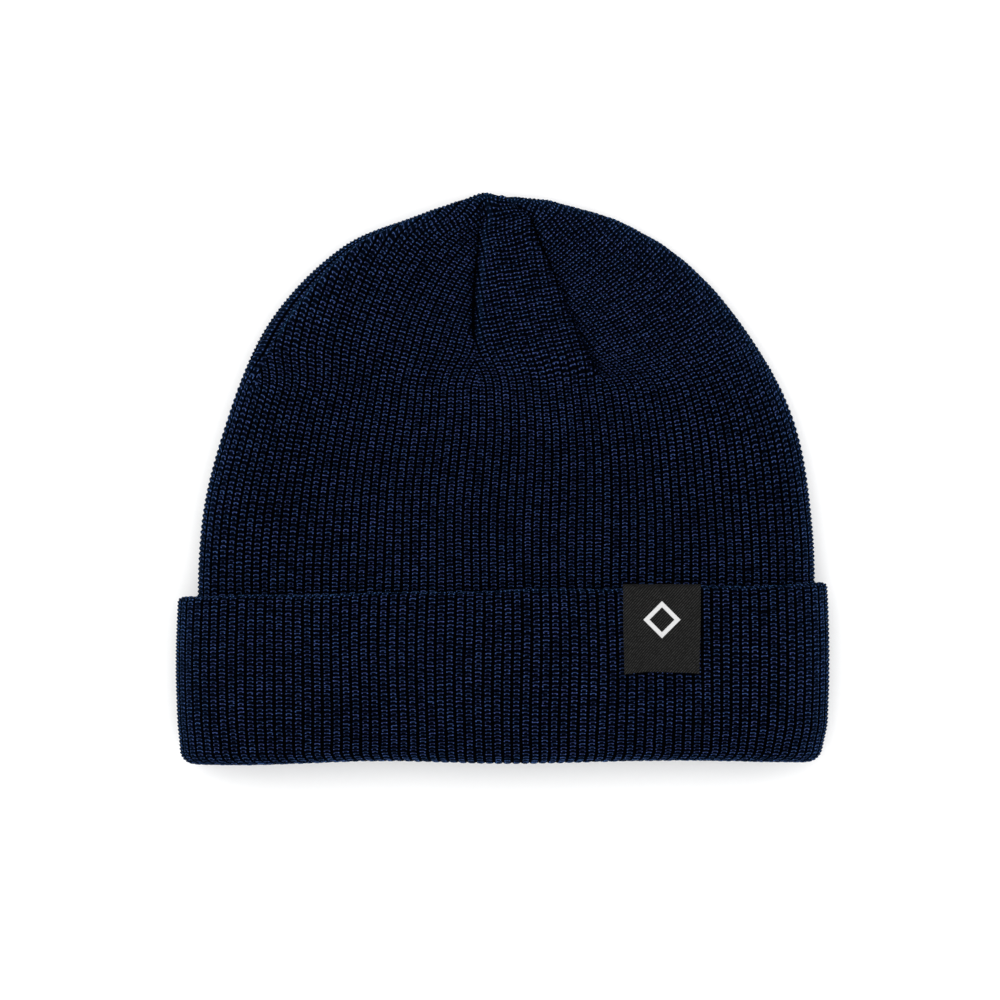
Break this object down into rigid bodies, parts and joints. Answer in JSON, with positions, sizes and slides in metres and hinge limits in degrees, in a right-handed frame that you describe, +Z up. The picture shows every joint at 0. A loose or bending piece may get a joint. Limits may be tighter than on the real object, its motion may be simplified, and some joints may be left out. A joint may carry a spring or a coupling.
{
  "type": "knit beanie",
  "caption": "Cuffed rib-knit beanie laid flat: lined crown closed by darts, turned-up cuff and a small folded label.",
  "frame": {"origin": "on the surface the hat lies on, under the middle of its flat outline", "axes": "+Z up out of the front face, +Y towards the crown's tip, -Y out of the head opening, +X to the right of the front face"},
  "size_m": [0.23, 0.201, 0.031],
  "materials": {
    "knit": "dark navy rib knit, soft and matte with a faint blue sheen",
    "thread": "matte sewing thread",
    "label_tape": "dark grey woven twill tape",
    "label_mark": "off-white woven mark"
  },
  "bodies": {
    "crown": {"crown_shell": "knit", "crown_lining": "knit", "dart_seam_left": "thread", "dart_seam_centre": "thread", "dart_seam_right": "thread", "dart_seam_back_right": "thread", "dart_seam_back_centre": "thread", "dart_seam_back_left": "thread", "lining_dart_seams": "thread", "crown_tack": "thread"},
    "cuff": {"cuff_face": "knit", "cuff_backing": "knit", "label": "label_tape", "label_mark": "label_mark", "label_stitches": "thread"}
  },
  "joints": [
    {"name": "cuff_turn_down", "type": "slide", "parent": "crown", "child": "cuff", "axis": [0, -1, 0], "range_m": [0, 0.045]}
  ]
}
